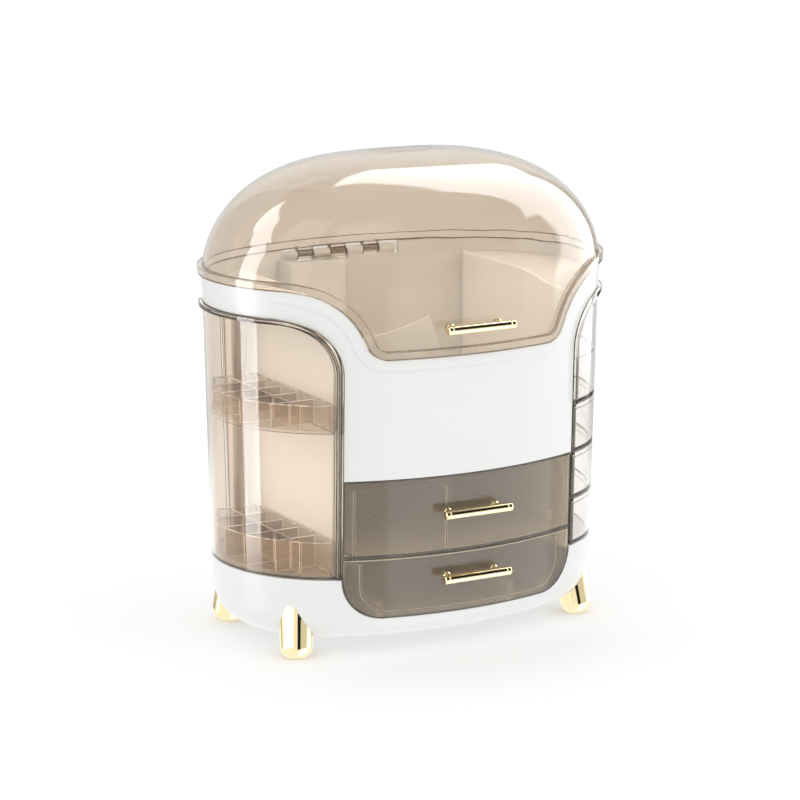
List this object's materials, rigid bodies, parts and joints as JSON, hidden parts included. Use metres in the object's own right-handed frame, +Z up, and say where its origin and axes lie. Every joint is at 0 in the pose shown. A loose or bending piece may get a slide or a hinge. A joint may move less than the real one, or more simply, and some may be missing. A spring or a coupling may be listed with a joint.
{
  "type": "makeup organizer",
  "caption": "Oval makeup organizer with a clear domed lid over a divided well, two smoky drawers, a swing-out rack door, stacked swing-out trays and round feet.",
  "frame": {"origin": "centre of the overall box on the floor plane, under the four feet", "axes": "+X to the right of someone facing the drawers, -Y out through the drawers' fronts, +Z up"},
  "size_m": [0.3186, 0.2274, 0.3581],
  "materials": {
    "white_plastic": "glossy moulded white",
    "tea_clear": "clear tea-coloured plastic",
    "pale_clear": "clear pale plastic",
    "smoke_clear": "clear smoke-coloured plastic",
    "polished_gold": "polished pale gold plating",
    "plain_steel": "plain steel"
  },
  "bodies": {
    "body": {"base_bowl": "white_plastic", "rear_wall": "white_plastic", "upper_frame": "white_plastic", "partition_left": "white_plastic", "partition_right": "white_plastic", "base_deck_left": "white_plastic", "base_deck_right": "white_plastic", "wing_deck_left": "white_plastic", "wing_deck_right": "white_plastic", "drawer_shelf": "white_plastic", "well_floor": "white_plastic", "drawer_runners": "white_plastic", "well_divider": "white_plastic", "well_rear_pocket": "white_plastic", "foot_front_left": "polished_gold", "foot_front_right": "polished_gold", "foot_rear_left": "polished_gold", "foot_rear_right": "polished_gold", "foot_screws": "plain_steel", "pivot_rod_left": "plain_steel", "pivot_rod_right": "plain_steel"},
    "lid": {"lid_dome": "tea_clear", "lid_handle": "polished_gold", "lid_handle_screws": "plain_steel", "lid_hinge_pin": "plain_steel"},
    "left_door": {"left_door_shell": "tea_clear", "left_upper_rack": "tea_clear", "left_upper_grid": "tea_clear", "left_lower_rack": "tea_clear", "left_lower_grid": "tea_clear"},
    "upper_drawer": {"upper_drawer_front": "smoke_clear", "upper_drawer_box": "smoke_clear", "upper_drawer_divider": "smoke_clear", "upper_drawer_handle": "polished_gold", "upper_handle_screws": "plain_steel"},
    "lower_drawer": {"lower_drawer_front": "smoke_clear", "lower_drawer_box": "smoke_clear", "lower_drawer_handle": "polished_gold", "lower_handle_screws": "plain_steel"},
    "tray_bottom": {"right_tray_bottom": "pale_clear"},
    "tray_lower": {"right_tray_lower": "pale_clear"},
    "tray_upper": {"right_tray_upper": "pale_clear"},
    "tray_top": {"right_tray_top": "pale_clear"}
  },
  "joints": [
    {"name": "lid_hinge", "type": "hinge", "parent": "body", "child": "lid", "pos_m": [0, 0.10948, 0.2667], "axis": [-1, 0, 0], "range_deg": [0, 95]},
    {"name": "upper_drawer_slide", "type": "slide", "parent": "body", "child": "upper_drawer", "axis": [0, -1, 0], "range_m": [0, 0.12]},
    {"name": "lower_drawer_slide", "type": "slide", "parent": "body", "child": "lower_drawer", "axis": [0, -1, 0], "range_m": [0, 0.12]},
    {"name": "left_door_pivot", "type": "hinge", "parent": "body", "child": "left_door", "pos_m": [-0.10882, 0.07206, 0.0615], "axis": [0, 0, -1], "range_deg": [0, 90]},
    {"name": "tray_bottom_pivot", "type": "hinge", "parent": "body", "child": "tray_bottom", "pos_m": [0.10882, 0.07206, 0.0615], "axis": [0, 0, 1], "range_deg": [0, 90]},
    {"name": "tray_lower_pivot", "type": "hinge", "parent": "body", "child": "tray_lower", "pos_m": [0.10882, 0.07206, 0.0976], "axis": [0, 0, 1], "range_deg": [0, 90]},
    {"name": "tray_upper_pivot", "type": "hinge", "parent": "body", "child": "tray_upper", "pos_m": [0.10882, 0.07206, 0.1335], "axis": [0, 0, 1], "range_deg": [0, 90]},
    {"name": "tray_top_pivot", "type": "hinge", "parent": "body", "child": "tray_top", "pos_m": [0.10882, 0.07206, 0.1707], "axis": [0, 0, 1], "range_deg": [0, 90]}
  ]
}
